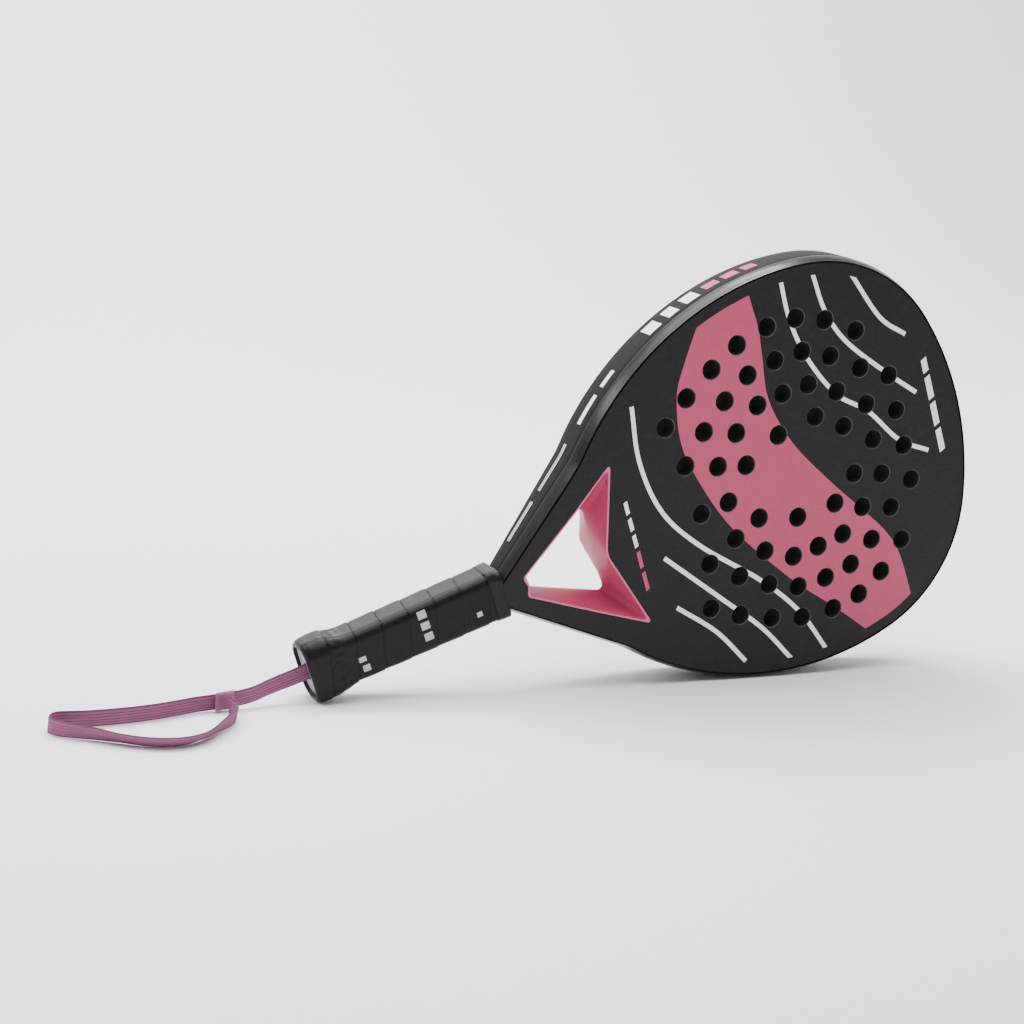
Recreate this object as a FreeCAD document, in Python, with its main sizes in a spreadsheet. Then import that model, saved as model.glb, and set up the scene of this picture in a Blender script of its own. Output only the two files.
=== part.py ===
import FreeCAD, Part
import math
import os

from FreeCAD import Placement, Rotation, Vector

# A padel racket with a wrist cord, standing on the edge of its head and on its butt.
# Every piece of the racket is modelled lying flat: X runs from the butt end to the tip, Y across
# the racket and Z out of its front face. One placement then stands the racket up: X along the
# floor from butt to tip, Y away from the front face, Z up. The origin is on the floor, under the
# middle of the racket's box.

doc = FreeCAD.newDocument("padel_racket")
sheet = doc.addObject("Spreadsheet::Sheet", "sizes")

DIMENSIONS = {
    # outline of the head
    "racket_length": 455.0,
    "racket_width": 260.0,
    "racket_depth": 38.0,
    "widest_at": 337.0,
    "tip_radius": 191.0,
    "shoulder_radius": 97.5,
    "crown_side_radius": 174.5,
    "heart_side_radius": 193.0,
    "waist_radius": 56.5,
    "arm_angle": 39.0,
    "arm_half_width": 18.25,
    "arm_reference": 135.3,
    # neck, where the depth tapers into the grip
    "neck_at": 127.0,
    "neck_depth": 28.6,
    "full_depth_at": 182.0,
    # rim
    "bevel_width": 2.5,
    "band_depth": 20.0,
    "band_thickness": 1.2,
    "band_groove": 0.6,
    "face_lip": 0.3,
    "face_groove": 0.9,
    "face_thickness": 1.5,
    "ring_width": 17.0,
    # foam in the ring
    "foam_outer": 5.0,
    "foam_inner": 12.0,
    "foam_depth": 24.0,
    "foam_start": 165.0,
    # throat opening
    "throat_corner_radius": 2.0,
    "liner_thickness": 1.2,
    "bridge_crown": 215.0,
    "bridge_crown_rise": 18.0,
    "bridge_crown_reach": 77.0,
    # holes
    "hole_radius": 6.0,
    # handle
    "shaft_width": 24.0,
    "shaft_depth": 20.0,
    "shaft_wall": 2.0,
    "shaft_start": 8.0,
    "shaft_socket": 7.0,
    "handle_core_start": 24.0,
    "grip_start": 21.0,
    "grip_end": 121.0,
    "grip_width": 31.0,
    "grip_depth": 27.0,
    "grip_corner": 9.0,
    "wrap_thickness": 1.0,
    "butt_width": 39.0,
    "butt_depth": 29.0,
    "butt_corner": 11.5,
    "butt_edge": 4.0,
    "butt_flat_end": 12.0,
    "recess_depth": 4.0,
    "plate_thickness": 2.0,
    "slot_width": 12.0,
    "slot_height": 3.0,
    "pin_radius": 1.5,
    "pin_at": 14.0,
    "knot_length": 11.0,
    "knot_width": 14.0,
    "knot_height": 10.0,
    "strap_width": 10.0,
    "strap_thickness": 1.6,
    # wrist cord
    "cord_radius": 3.0,
    "cord_wrap_length": 15.0,
    "cord_wrap_width": 18.0,
    "cord_wrap_height": 9.0,
}
for row, (alias, value) in enumerate(DIMENSIONS.items(), start=1):
    sheet.set(f"A{row}", alias)
    sheet.set(f"B{row}", str(value))
    sheet.setAlias(f"B{row}", alias)
doc.recompute()


def size(alias):
    return float(sheet.get(alias))


LENGTH = size("racket_length")
HALF_DEPTH = size("racket_depth") / 2
HALF_NECK = size("neck_depth") / 2
NECK = size("neck_at")
BAND_HALF = size("band_depth") / 2
PAST = 20.0  # how far a cutting tool runs past the racket

ACROSS = Rotation(Vector(1, 1, 1), 120)  # sketch X along Y, sketch Y along Z
UPRIGHT = Rotation(Vector(1, 0, 0), 90)  # sketch X along X, sketch Y along Z


# ---------------------------------------------------------------- plane geometry


def polar(centre, radius, towards):
    return centre + (towards - centre).normalize() * radius


def arc(centre, radius, start, end):
    """The three points of the shorter arc about centre from start to end."""
    return [start, polar(centre, radius, (start + end) * 0.5), end]


def curve_through(points):
    """A line through two points, or the anticlockwise arc through three."""
    if len(points) == 2:
        return Part.LineSegment(*points)
    start, middle, end = points
    clockwise = (middle - start).cross(end - middle).z < 0
    return Part.Arc(end, middle, start) if clockwise else Part.Arc(start, middle, end)


def meeting_point(first, first_radius, second, second_radius):
    """The upper point at one distance from each of two centres."""
    gap = second - first
    along = (first_radius**2 - second_radius**2 + gap.Length**2) / (2 * gap.Length)
    height = math.sqrt(first_radius**2 - along**2)
    unit = Vector(gap).normalize()
    candidates = [first + unit * along + Vector(-unit.y, unit.x) * s * height for s in (1, -1)]
    return max(candidates, key=lambda point: point.x + point.y)


def mirrored(points):
    return [Vector(p.x, -p.y, p.z) for p in points]


def upper_outline(inset, end_at):
    """Tangent arcs and the arm's straight line of the upper half, parallel to the rim at inset."""
    widest = size("widest_at")
    half_width = size("racket_width") / 2
    tip_centre = Vector(LENGTH - size("tip_radius"), 0)
    crown_centre = Vector(widest, half_width - size("crown_side_radius"))
    heart_centre = Vector(widest, half_width - size("heart_side_radius"))
    shoulder = size("shoulder_radius")
    shoulder_centre = meeting_point(
        tip_centre, size("tip_radius") - shoulder, crown_centre, size("crown_side_radius") - shoulder
    )
    angle = math.radians(size("arm_angle"))
    along = Vector(math.cos(angle), math.sin(angle))
    outward = Vector(-along.y, along.x)
    arm = Vector(size("arm_reference"), size("arm_half_width"))
    waist = size("waist_radius")
    away = arm + outward * waist - heart_centre
    half_run = away.dot(along)
    reach = size("heart_side_radius") + waist
    step = -half_run - math.sqrt(half_run**2 - away.Length**2 + reach**2)
    waist_centre = arm + outward * waist + along * step

    tip = Vector(LENGTH - inset, 0)
    tip_end = polar(tip_centre, size("tip_radius") - inset, shoulder_centre)
    shoulder_end = polar(shoulder_centre, shoulder - inset, shoulder_centre * 2 - crown_centre)
    side = Vector(widest, half_width - inset)
    heart_end = polar(heart_centre, size("heart_side_radius") - inset, waist_centre)
    waist_end = waist_centre - outward * (waist + inset)
    start = arm - outward * inset
    neck = start + along * ((end_at - start.x) / along.x)
    curves = [
        arc(tip_centre, size("tip_radius") - inset, tip, tip_end),
        arc(shoulder_centre, shoulder - inset, tip_end, shoulder_end),
        arc(crown_centre, size("crown_side_radius") - inset, shoulder_end, side),
        arc(heart_centre, size("heart_side_radius") - inset, side, heart_end),
        arc(waist_centre, waist + inset, heart_end, waist_end),
        [waist_end, neck],
    ]
    return curves, neck


def outline(inset, end_at=NECK):
    """The closed outline of the racket at inset from its rim, cut straight at end_at."""
    upper, neck = upper_outline(inset, end_at)
    lower = [mirrored(points) for points in reversed(upper)]
    return [curve_through(points) for points in upper + [[neck, *mirrored([neck])]] + lower]


def rounded_polygon(corners, radius):
    """A closed polygon whose corners are arcs of the radius given, or sharp where it is 0."""
    count = len(corners)
    arcs = {}
    ends = []
    for i, corner in enumerate(corners):
        rounding = radius[i] if isinstance(radius, list) else radius
        if rounding == 0:
            ends.append((corner, corner))
            continue
        before = (corners[i - 1] - corner).normalize()
        after = (corners[(i + 1) % count] - corner).normalize()
        half = before.getAngle(after) / 2
        reach = rounding / math.tan(half)
        centre = corner + (before + after).normalize() * (rounding / math.sin(half))
        start = corner + before * reach
        end = corner + after * reach
        arcs[i] = curve_through([start, polar(centre, rounding, corner), end])
        ends.append((start, end))
    path = []
    for i in range(count):
        if i in arcs:
            path.append(arcs[i])
        path.append(Part.LineSegment(ends[i][1], ends[(i + 1) % count][0]))
    return path


def shrunk_polygon(corners, amount):
    """The corners of an anticlockwise polygon with every side moved inwards."""
    count = len(corners)
    moved = []
    for i, corner in enumerate(corners):
        before = (corner - corners[i - 1]).normalize()
        after = (corners[(i + 1) % count] - corner).normalize()
        normals = Vector(-before.y, before.x) + Vector(-after.y, after.x)
        moved.append(corner + normals * (amount / (1 + before.dot(after))))
    return moved


def rectangle(width, height, corner):
    half_width = width / 2
    half_height = height / 2
    corners = [
        Vector(half_width, -half_height),
        Vector(half_width, half_height),
        Vector(-half_width, half_height),
        Vector(-half_width, -half_height),
    ]
    return rounded_polygon(corners, corner)


# ---------------------------------------------------------------- document objects


def sketch(label, curves, place=Placement()):
    item = doc.addObject("Sketcher::SketchObject", label)
    item.addGeometry(list(curves), False)
    item.Placement = place
    return item


def extrusion(label, profile, direction, forward, symmetric=False):
    item = doc.addObject("Part::Extrusion", label)
    item.Base = profile
    item.DirMode = "Custom"
    item.Dir = direction
    item.Solid = True
    item.Symmetric = symmetric
    if isinstance(forward, str):
        item.setExpression("LengthFwd", forward)
    else:
        item.LengthFwd = forward
    return item


def loft(label, sections):
    item = doc.addObject("Part::Loft", label)
    item.Sections = sections
    item.Solid = True
    item.Ruled = True
    return item


def cut(label, base, tool):
    item = doc.addObject("Part::Cut", label)
    item.Base = base
    item.Tool = tool
    return item


def common(label, base, tool):
    item = doc.addObject("Part::Common", label)
    item.Base = base
    item.Tool = tool
    return item


def fuse(label, shapes):
    item = doc.addObject("Part::MultiFuse", label)
    item.Shapes = shapes
    return item


def raised(height):
    return Placement(Vector(0, 0, height), Rotation())


def plate(label, inset, end_at=NECK, depth="sizes.racket_depth + 4"):
    """The whole outline at one inset, through the full depth of the racket."""
    profile = sketch(f"{label}_outline", outline(inset, end_at))
    return extrusion(label, profile, Vector(0, 0, 1), depth, True)


def slab(label, skin):
    """Everything between the two faces, less the skin, with the taper towards the neck."""
    top = [(NECK - PAST, HALF_NECK - skin), (NECK, HALF_NECK - skin)]
    top += [(size("full_depth_at"), HALF_DEPTH - skin), (LENGTH + PAST, HALF_DEPTH - skin)]
    corners = [Vector(x, z) for x, z in top] + [Vector(x, -z) for x, z in reversed(top)]
    profile = sketch(f"{label}_side", rounded_polygon(corners, 0), Placement(Vector(), UPRIGHT))
    return extrusion(label, profile, Vector(0, 1, 0), "sizes.racket_width + 40", True)


def half_space(label, side):
    item = doc.addObject("Part::Box", label)
    item.setExpression("Length", "sizes.racket_length + 40")
    item.setExpression("Width", "sizes.racket_width + 40")
    item.setExpression("Height", "sizes.racket_depth")
    bottom = 0 if side > 0 else -2 * HALF_DEPTH
    item.Placement = Placement(Vector(-PAST, -size("racket_width") / 2 - PAST, bottom), Rotation())
    return item


# ---------------------------------------------------------------- throat opening

FACE_THROAT = [(142, 0), (140, -6.3), (209.8, -52), (194.6, 0), (209.8, 52), (140, 6.3)]
MIDDLE_THROAT = [(146, 0), (144, -6.5), (195.2, -30.6), (194.6, 0), (195.2, 30.6), (144, 6.5)]
THROAT_ROUNDED = [1, 2, 4, 5]  # the corners at the neck end and at the two arms


def throat_tool(label, inset):
    """The hourglass of the throat opening: widest at both faces, narrowest at mid depth."""
    radius = size("throat_corner_radius") - inset / 2
    rounding = [radius if i in THROAT_ROUNDED else 0 for i in range(len(FACE_THROAT))]
    halves = []
    for side, height in (("front", HALF_DEPTH), ("rear", -HALF_DEPTH)):
        sections = []
        for place, points in (("middle", MIDDLE_THROAT), ("face", FACE_THROAT)):
            corners = shrunk_polygon([Vector(x, y) for x, y in points], inset)
            level = height if place == "face" else 0
            name = f"{label}_{side}_{place}"
            sections.append(sketch(name, rounded_polygon(corners, rounding), raised(level)))
        halves.append(loft(f"{label}_{side}", sections))
    return fuse(label, halves)


def bridge_area():
    """The bridge in plan: the head side is a chevron, the arm sides run through the corners."""
    crown = size("bridge_crown")
    slope = size("bridge_crown_rise") / size("bridge_crown_reach")
    outer = 110.0
    inner_corner = Vector(*MIDDLE_THROAT[4])
    face_corner = Vector(*FACE_THROAT[4])
    run_out = face_corner + (face_corner - inner_corner)
    upper = [Vector(crown + slope * outer, outer), Vector(run_out.x, outer), run_out, inner_corner]
    upper = [Vector(crown, 0)] + upper + [Vector(170, 0)]
    return upper + [Vector(p.x, -p.y) for p in reversed(upper[1:-1])]


def crown_area():
    crown = size("bridge_crown")
    slope = size("bridge_crown_rise") / size("bridge_crown_reach")
    outer = size("racket_width") / 2 + PAST
    upper = [Vector(crown, 0), Vector(crown + slope * outer, outer), Vector(LENGTH + PAST, outer)]
    return upper + [Vector(p.x, -p.y) for p in reversed(upper[1:])]


# ---------------------------------------------------------------- holes

# each row across the head: where it crosses the axis, its first hole, pitch, holes a side, bow
HOLE_ROWS = [
    (407.6, 12.0, 23.8, 2, 0.0),
    (387.4, 0.0, 23.9, 4, 8.5e-4),
    (369.0, 16.2, 23.3, 4, 4.6e-4),
    (351.2, 29.5, 21.6, 4, 2.5e-4),
    (333.2, 52.0, 22.0, 3, 0.0),
    (324.0, 28.0, 22.0, 1, 0.0),
    (316.8, 51.4, 20.6, 3, -7.0e-4),
    (298.5, 18.0, 22.1, 4, -1.12e-3),
    (280.6, 0.0, 24.5, 4, -1.95e-3),
    (261.2, 0.0, 24.5, 1, 0.0),
    (261.2, 33.2, 27.9, 2, -2.45e-3),
]


def hole_centres():
    centres = []
    for x, first, pitch, count, bow in HOLE_ROWS:
        for i in range(count):
            y = first + pitch * i
            for side in (1, -1) if y else (1,):
                centres.append(Vector(x + bow * y**2, side * y))
    return centres


# ---------------------------------------------------------------- frame, core and faces

rim_lip = size("bevel_width") + size("face_lip")
face_inset = rim_lip + size("face_groove")

middle_profile = sketch("rim_middle_outline", outline(0))
rim_middle = extrusion("rim_middle", middle_profile, Vector(0, 0, 1), "sizes.band_depth", True)
bevels = []
for side_name, direction in (("front", 1), ("rear", -1)):
    wide = sketch(f"bevel_{side_name}_wide", outline(0), raised(direction * BAND_HALF))
    narrow_place = raised(direction * HALF_DEPTH)
    narrow = sketch(f"bevel_{side_name}_narrow", outline(size("bevel_width")), narrow_place)
    bevels.append(loft(f"bevel_{side_name}", [wide, narrow]))
rim_block = fuse("rim_block", [rim_middle] + bevels)

full_slab = slab("full_slab", 0)
inner_slab = slab("inner_slab", size("face_thickness"))
blank = common("racket_blank", rim_block, full_slab)

face_recess = cut("face_recess", plate("recess_plate", rim_lip), inner_slab)
heart_plate = plate("heart_plate", size("ring_width"), 150.0)
heart = common("heart_block", heart_plate, inner_slab)
crown_tool = extrusion(
    "crown_tool", sketch("crown_area", rounded_polygon(crown_area(), 0)), Vector(0, 0, 1), 60.0, True
)
bridge_tool = extrusion(
    "bridge_tool", sketch("bridge_area", rounded_polygon(bridge_area(), 0)), Vector(0, 0, 1), 60.0, True
)
throat = throat_tool("throat_opening", 0)
throat_inside = throat_tool("throat_inside", size("liner_thickness"))

holes_sketch = doc.addObject("Sketcher::SketchObject", "hole_pattern")
for centre in hole_centres():
    holes_sketch.addGeometry(Part.Circle(centre, Vector(0, 0, 1), size("hole_radius")), False)
holes = extrusion("hole_tools", holes_sketch, Vector(0, 0, 1), "sizes.racket_depth + 4", True)

core_blank = common("core_blank", heart, crown_tool)
bridge_blank = common("bridge_blank", heart, bridge_tool)

channel_depth = "sizes.band_depth + 2 * sizes.band_groove"
band_cut = cut(
    "band_channel",
    plate("channel_outside", -size("band_thickness"), NECK - 1, channel_depth),
    plate("channel_inside", size("band_thickness"), NECK - 2),
)
foam_ring = cut(
    "foam_ring",
    plate("foam_outside", size("foam_outer"), size("foam_start"), "sizes.foam_depth"),
    plate("foam_inside", size("foam_inner"), size("foam_start") - 1),
)

socket_profile = sketch(
    "socket_profile",
    rectangle(size("shaft_width"), size("shaft_depth"), 4.0),
    Placement(Vector(NECK - 1, 0, 0), ACROSS),
)
socket = extrusion("shaft_socket_tool", socket_profile, Vector(1, 0, 0), "sizes.shaft_socket + 1")

frame_tools = fuse(
    "frame_tools", [face_recess, core_blank, bridge_blank, throat, band_cut, foam_ring, socket]
)
frame_tube = cut("frame_tube", blank, frame_tools)

frame_foam = cut(
    "frame_foam",
    plate("ring_foam_outside", size("foam_outer"), size("foam_start"), "sizes.foam_depth"),
    plate("ring_foam_inside", size("foam_inner"), size("foam_start") - 1),
)
head_core = cut("head_core", core_blank, holes)
throat_bridge = cut("throat_bridge", bridge_blank, throat)
throat_liner = common("throat_liner", cut("liner_blank", throat, throat_inside), full_slab)
edge_band = cut(
    "edge_band",
    plate("band_outside", 0, NECK, "sizes.band_depth"),
    plate("band_inside", size("band_thickness"), NECK - 1),
)

skin_layer = cut("skin_layer", full_slab, inner_slab)
skins = common("skins", plate("skin_plate", face_inset), skin_layer)
skin_tools = fuse("skin_tools", [throat, holes])
pierced_skins = cut("pierced_skins", skins, skin_tools)
face_front = common("face_front", pierced_skins, half_space("front_half", 1))
face_rear = common("face_rear", pierced_skins, half_space("rear_half", -1))


# ---------------------------------------------------------------- handle


def bar(label, start, end, width, depth, corner):
    """A rounded rectangular bar along the handle."""
    place = Placement(Vector(start, 0, 0), ACROSS)
    profile = sketch(f"{label}_section", rectangle(width, depth, corner), place)
    return extrusion(label, profile, Vector(1, 0, 0), end - start)


def flared_bar(label, inset):
    """The outer form of the grip: flared over the butt, then straight up to the collar."""
    width = size("butt_width") - 2 * inset
    depth = size("butt_depth") - 2 * inset
    corner = size("butt_corner") - inset
    grip = (size("grip_width") - 2 * inset, size("grip_depth") - 2 * inset, size("grip_corner") - inset)
    edge = size("butt_edge")
    stations = [
        (0.0, width - edge, depth - edge, corner - edge / 2),
        (edge * 0.3, width - edge * 0.4, depth - edge * 0.4, corner - edge * 0.2),
        (edge, width, depth, corner),
        (size("butt_flat_end"), width, depth, corner),
        (size("grip_start"),) + grip,
        (size("grip_end"),) + grip,
    ]
    sections = []
    for i, (x, station_width, station_depth, station_corner) in enumerate(stations):
        curves = rectangle(station_width, station_depth, station_corner)
        sections.append(sketch(f"{label}_{i}", curves, Placement(Vector(x, 0, 0), ACROSS)))
    return loft(label, sections)


shaft_start = size("shaft_start")
shaft_end = NECK + size("shaft_socket")
grip_start = size("grip_start")
grip_end = size("grip_end")
shaft_width = size("shaft_width")
shaft_depth = size("shaft_depth")
wall = size("shaft_wall")
wrap = size("wrap_thickness")
pallet_size = (size("grip_width") - 4 * wrap, size("grip_depth") - 4 * wrap, size("grip_corner") - 2 * wrap)
cushion_size = (size("grip_width") - 2 * wrap, size("grip_depth") - 2 * wrap, size("grip_corner") - wrap)

shaft_bar = bar("shaft_bar", shaft_start, shaft_end, shaft_width, shaft_depth, 4.0)
shaft_bore = bar("shaft_bore", 0, shaft_end + 1, shaft_width - 2 * wall, shaft_depth - 2 * wall, 2.0)
shaft_tube = cut("shaft_tube", shaft_bar, shaft_bore)
pin_hole = doc.addObject("Part::Cylinder", "pin_hole")
cord_pin = doc.addObject("Part::Cylinder", "cord_pin")
for cylinder in (pin_hole, cord_pin):
    cylinder.setExpression("Radius", "sizes.pin_radius")
    cylinder.setExpression("Height", "sizes.shaft_width")
pin_place = Placement(Vector(size("pin_at"), shaft_width / 2, 0), UPRIGHT)
pin_hole.Placement = pin_place
handle_shaft = cut("handle_shaft", shaft_tube, pin_hole)

core_start = size("handle_core_start")
handle_core = bar("handle_core", core_start, shaft_end, shaft_width - 2 * wall, shaft_depth - 2 * wall, 2.0)

pallet_bar = bar("pallet_bar", grip_start, grip_end, *pallet_size)
pallet_bore = bar("pallet_bore", 0, grip_end + 1, shaft_width, shaft_depth, 4.0)
pallets = cut("pallets", pallet_bar, pallet_bore)
pallet_front = common("pallet_front", pallets, half_space("pallet_front_half", 1))
pallet_rear = common("pallet_rear", pallets, half_space("pallet_rear_half", -1))
cushion_grip = cut(
    "cushion_grip",
    bar("cushion_bar", grip_start, grip_end, *cushion_size),
    bar("cushion_bore", 0, grip_end + 1, *pallet_size),
)
overgrip_inside = flared_bar("overgrip_inside", wrap)
overgrip = cut("overgrip", flared_bar("overgrip_outside", 0), overgrip_inside)

collar_start = sketch(
    "collar_start",
    rectangle(size("grip_width"), size("grip_depth"), size("grip_corner")),
    Placement(Vector(grip_end, 0, 0), ACROSS),
)
collar_end = sketch(
    "collar_end",
    rectangle(size("grip_width"), size("neck_depth"), size("grip_corner") - 2),
    Placement(Vector(NECK, 0, 0), ACROSS),
)
collar_bore = bar("collar_bore", grip_end - 1, NECK + 1, shaft_width, shaft_depth, 4.0)
grip_collar = cut("grip_collar", loft("collar_blank", [collar_start, collar_end]), collar_bore)

cap_block = common("cap_block", overgrip_inside, bar("cap_length", -1, grip_start, 60, 60, 5.0))
recess_size = (size("butt_width") - 8, size("butt_depth") - 8, size("butt_corner") - 4)
cap_recess = bar("cap_recess", -1, size("recess_depth"), *recess_size)
cap_socket = bar("cap_socket", shaft_start, grip_start + 1, shaft_width, shaft_depth, 4.0)
cap_slot = bar("cap_slot", 0, shaft_start + 1, size("slot_width"), size("slot_height"), 1.0)
butt_cap = cut("butt_cap", cap_block, fuse("cap_tools", [cap_recess, cap_socket, cap_slot]))

plate_start = size("recess_depth") - size("plate_thickness")
plate_body = doc.addObject("PartDesign::Body", "butt_plate")
plate_plane = next(f for f in plate_body.Origin.OriginFeatures if f.Role == "YZ_Plane")
plate_sketch = plate_body.newObject("Sketcher::SketchObject", "plate_profile")
plate_sketch.AttachmentSupport = (plate_plane, [""])
plate_sketch.MapMode = "FlatFace"
plate_sketch.AttachmentOffset = Placement(Vector(0, 0, plate_start), Rotation())
plate_sketch.addGeometry(rectangle(*recess_size), False)
plate_sketch.addGeometry(rectangle(size("slot_width"), size("slot_height"), 1.0), False)
plate_pad = plate_body.newObject("PartDesign::Pad", "plate_pad")
plate_pad.Profile = plate_sketch
plate_pad.setExpression("Length", "sizes.plate_thickness")

knot_start = shaft_start + 1
knot_end = knot_start + size("knot_length")
knot_block = bar("knot_block", knot_start, knot_end, size("knot_width"), size("knot_height"), 3.0)
strap = bar("knot_strap", plate_start, knot_start, size("strap_width"), size("strap_thickness"), 0.5)
cord_knot = cut("cord_knot", fuse("knot_and_strap", [knot_block, strap]), pin_hole)


# ---------------------------------------------------------------- standing the racket up

# the racket touches the floor with the rounded edge of the butt and the lower side of the head
edge = size("butt_edge")
support = Vector(edge * 0.3, size("butt_width") / 2 - edge * 0.2)
side_drop = size("heart_side_radius") - size("racket_width") / 2
to_side = Vector(size("widest_at") - support.x, side_drop + support.y)
tilt = math.asin(size("heart_side_radius") / to_side.Length) - math.atan2(to_side.y, to_side.x)
standing = Rotation(Vector(0, 1, 0), -math.degrees(tilt)).multiply(UPRIGHT)

doc.recompute()
stood = [item.Shape.copy() for item in (frame_tube, edge_band, overgrip, face_front)]
for shape in stood:
    shape.transformShape(Placement(Vector(), standing).toMatrix(), True)
boxes = [shape.optimalBoundingBox(False, False) for shape in stood]
low_x = min(box.XMin for box in boxes)
high_x = max(box.XMax for box in boxes)
floor = min(box.ZMin for box in boxes)
butt_x = -(low_x + high_x) / 2
butt_z = -floor
standing_place = Placement(Vector(butt_x, 0, butt_z), standing)

# ---------------------------------------------------------------- wrist cord

# Routes are measured from the floor under the butt end's centre: X towards the head, Y away from
# the front face, Z up. The first point is where the cord leaves the butt plate.
exit_point = standing.multVec(Vector(plate_start, 0, 0)) + Vector(0, 0, butt_z)
exit_way = standing.multVec(Vector(-1, 0, 0))
LEAD_ROUTE = [
    exit_point,
    exit_point + exit_way * 9,
    Vector(-21, -2, 7.5),
    Vector(-33, -7, 4.5),
    Vector(-43, -7, 4.5),
]
LOOP_ROUTE = [
    Vector(-58, -8, 3),
    Vector(-68, -8, 3),
    Vector(-81, -13, 3),
    Vector(-96, -17, 3),
    Vector(-114, -19.5, 3),
    Vector(-130, -20, 3),
    Vector(-143, -19, 3),
    Vector(-152, -18, 3),
    Vector(-157.5, -23.5, 3),
    Vector(-155.5, -32, 3),
    Vector(-146, -39, 3),
    Vector(-136, -44.5, 3),
    Vector(-125, -53, 3),
    Vector(-113, -61.5, 3),
    Vector(-100, -66.5, 3),
    Vector(-87, -65.5, 3),
    Vector(-75, -58, 3),
    Vector(-64, -47, 3),
    Vector(-55, -37.5, 3),
    Vector(-48.5, -28, 3),
    Vector(-48.5, -19, 3),
]


def cord_path(name, points):
    """Straight runs joined by tangent arcs, each as large as its two runs allow."""
    edges = []
    radii = []
    start = points[0]
    for before, corner, after in zip(points, points[1:], points[2:]):
        back = before - corner
        ahead = after - corner
        turn = math.pi - back.getAngle(ahead)
        shorter = min(back.Length, ahead.Length)
        reach = 0.45 * shorter
        radius = reach / math.tan(turn / 2)
        back.normalize()
        ahead.normalize()
        centre = corner + (back + ahead).normalize() * math.hypot(radius, reach)
        arc_start = corner + back * reach
        arc_end = corner + ahead * reach
        edges.append(Part.LineSegment(start, arc_start).toShape())
        edges.append(Part.Arc(arc_start, polar(centre, radius, corner), arc_end).toShape())
        radii.append(radius)
        start = arc_end
    edges.append(Part.LineSegment(start, points[-1]).toShape())
    print(name, "radii", [round(radius, 1) for radius in radii])
    path = doc.addObject("Part::Feature", f"{name}_path")
    path.Shape = Part.Wire(edges)
    return path


def cord_tube(name, points):
    path = cord_path(name, points)
    section = doc.addObject("Sketcher::SketchObject", f"{name}_section")
    section.addGeometry(Part.Circle(Vector(), Vector(0, 0, 1), size("cord_radius")), False)
    section.Placement = Placement(points[0], Rotation(Vector(0, 0, 1), points[1] - points[0]))
    tube = doc.addObject("Part::Sweep", name)
    tube.Spine = (path, [f"Edge{i + 1}" for i in range(len(path.Shape.Edges))])
    tube.Sections = [section]
    tube.Solid = True
    doc.recompute()
    print(name, "length", round(path.Shape.Length, 1))
    return tube


floor_shift = Vector(butt_x, 0, 0)
cord_lead = cord_tube("cord_lead", [point + floor_shift for point in LEAD_ROUTE])
cord_loop = cord_tube("cord_loop", [point + floor_shift for point in LOOP_ROUTE])

cord_wrap = doc.addObject("Part::Box", "cord_wrap")
cord_wrap.setExpression("Length", "sizes.cord_wrap_length")
cord_wrap.setExpression("Width", "sizes.cord_wrap_width")
cord_wrap.setExpression("Height", "sizes.cord_wrap_height")
cord_wrap.Placement = Placement(Vector(-58, -19, 0) + floor_shift, Rotation())

# ---------------------------------------------------------------- nodes

cord_pin.Placement = standing_place.multiply(pin_place)
RACKET_NODES = [
    frame_tube, frame_foam, throat_bridge, head_core, face_front, face_rear, throat_liner, edge_band,
    handle_shaft, handle_core, pallet_front, pallet_rear, cushion_grip, overgrip, grip_collar,
    butt_cap, plate_body, cord_knot,
]
for node in RACKET_NODES:
    node.Placement = standing_place.multiply(node.Placement)
NODES = RACKET_NODES + [cord_pin, cord_lead, cord_loop, cord_wrap]

doc.recompute()
failed = [item.Name for item in doc.Objects if {"Invalid", "Error"} & set(item.State)]
if failed:
    raise SystemExit(f"failed objects: {failed}")
for node in NODES:
    if node.Shape.isNull() or not node.Shape.isValid():
        raise SystemExit(f"bad shape: {node.Label}")

os.makedirs("parts", exist_ok=True)
for node in NODES:
    solids = len(node.Shape.Solids)
    print(f"{node.Label}: {solids} solid, {node.Shape.Volume / 1000:.2f} cm3")
    node.Shape.exportStep(f"parts/{node.Label}.step")
print("tilt", round(math.degrees(tilt), 3), "butt x", round(butt_x, 2), "butt z", round(butt_z, 2))
print("racket box", [round(v, 1) for v in (low_x + butt_x, high_x + butt_x, floor + butt_z)])
print("floors", [round(box.ZMin + butt_z, 2) for box in boxes])
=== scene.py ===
import math

import bpy
import numpy as np
from mathutils import Matrix, Vector, noise
from mathutils.geometry import delaunay_2d_cdt


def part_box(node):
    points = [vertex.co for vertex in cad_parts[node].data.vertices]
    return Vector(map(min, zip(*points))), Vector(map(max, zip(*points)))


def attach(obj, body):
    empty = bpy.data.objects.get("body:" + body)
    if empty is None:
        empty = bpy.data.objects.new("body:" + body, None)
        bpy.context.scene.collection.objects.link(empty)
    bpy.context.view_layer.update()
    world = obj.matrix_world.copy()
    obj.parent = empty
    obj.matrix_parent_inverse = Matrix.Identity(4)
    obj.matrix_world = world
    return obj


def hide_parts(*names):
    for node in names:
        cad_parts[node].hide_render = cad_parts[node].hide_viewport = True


# A padel racket standing on its edge. Shapes are worked out in the racket's own flat frame, in
# millimetres: u from the butt end to the tip, v across, w out of the front face. to_world stands
# them up in the row frame, in metres.

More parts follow.
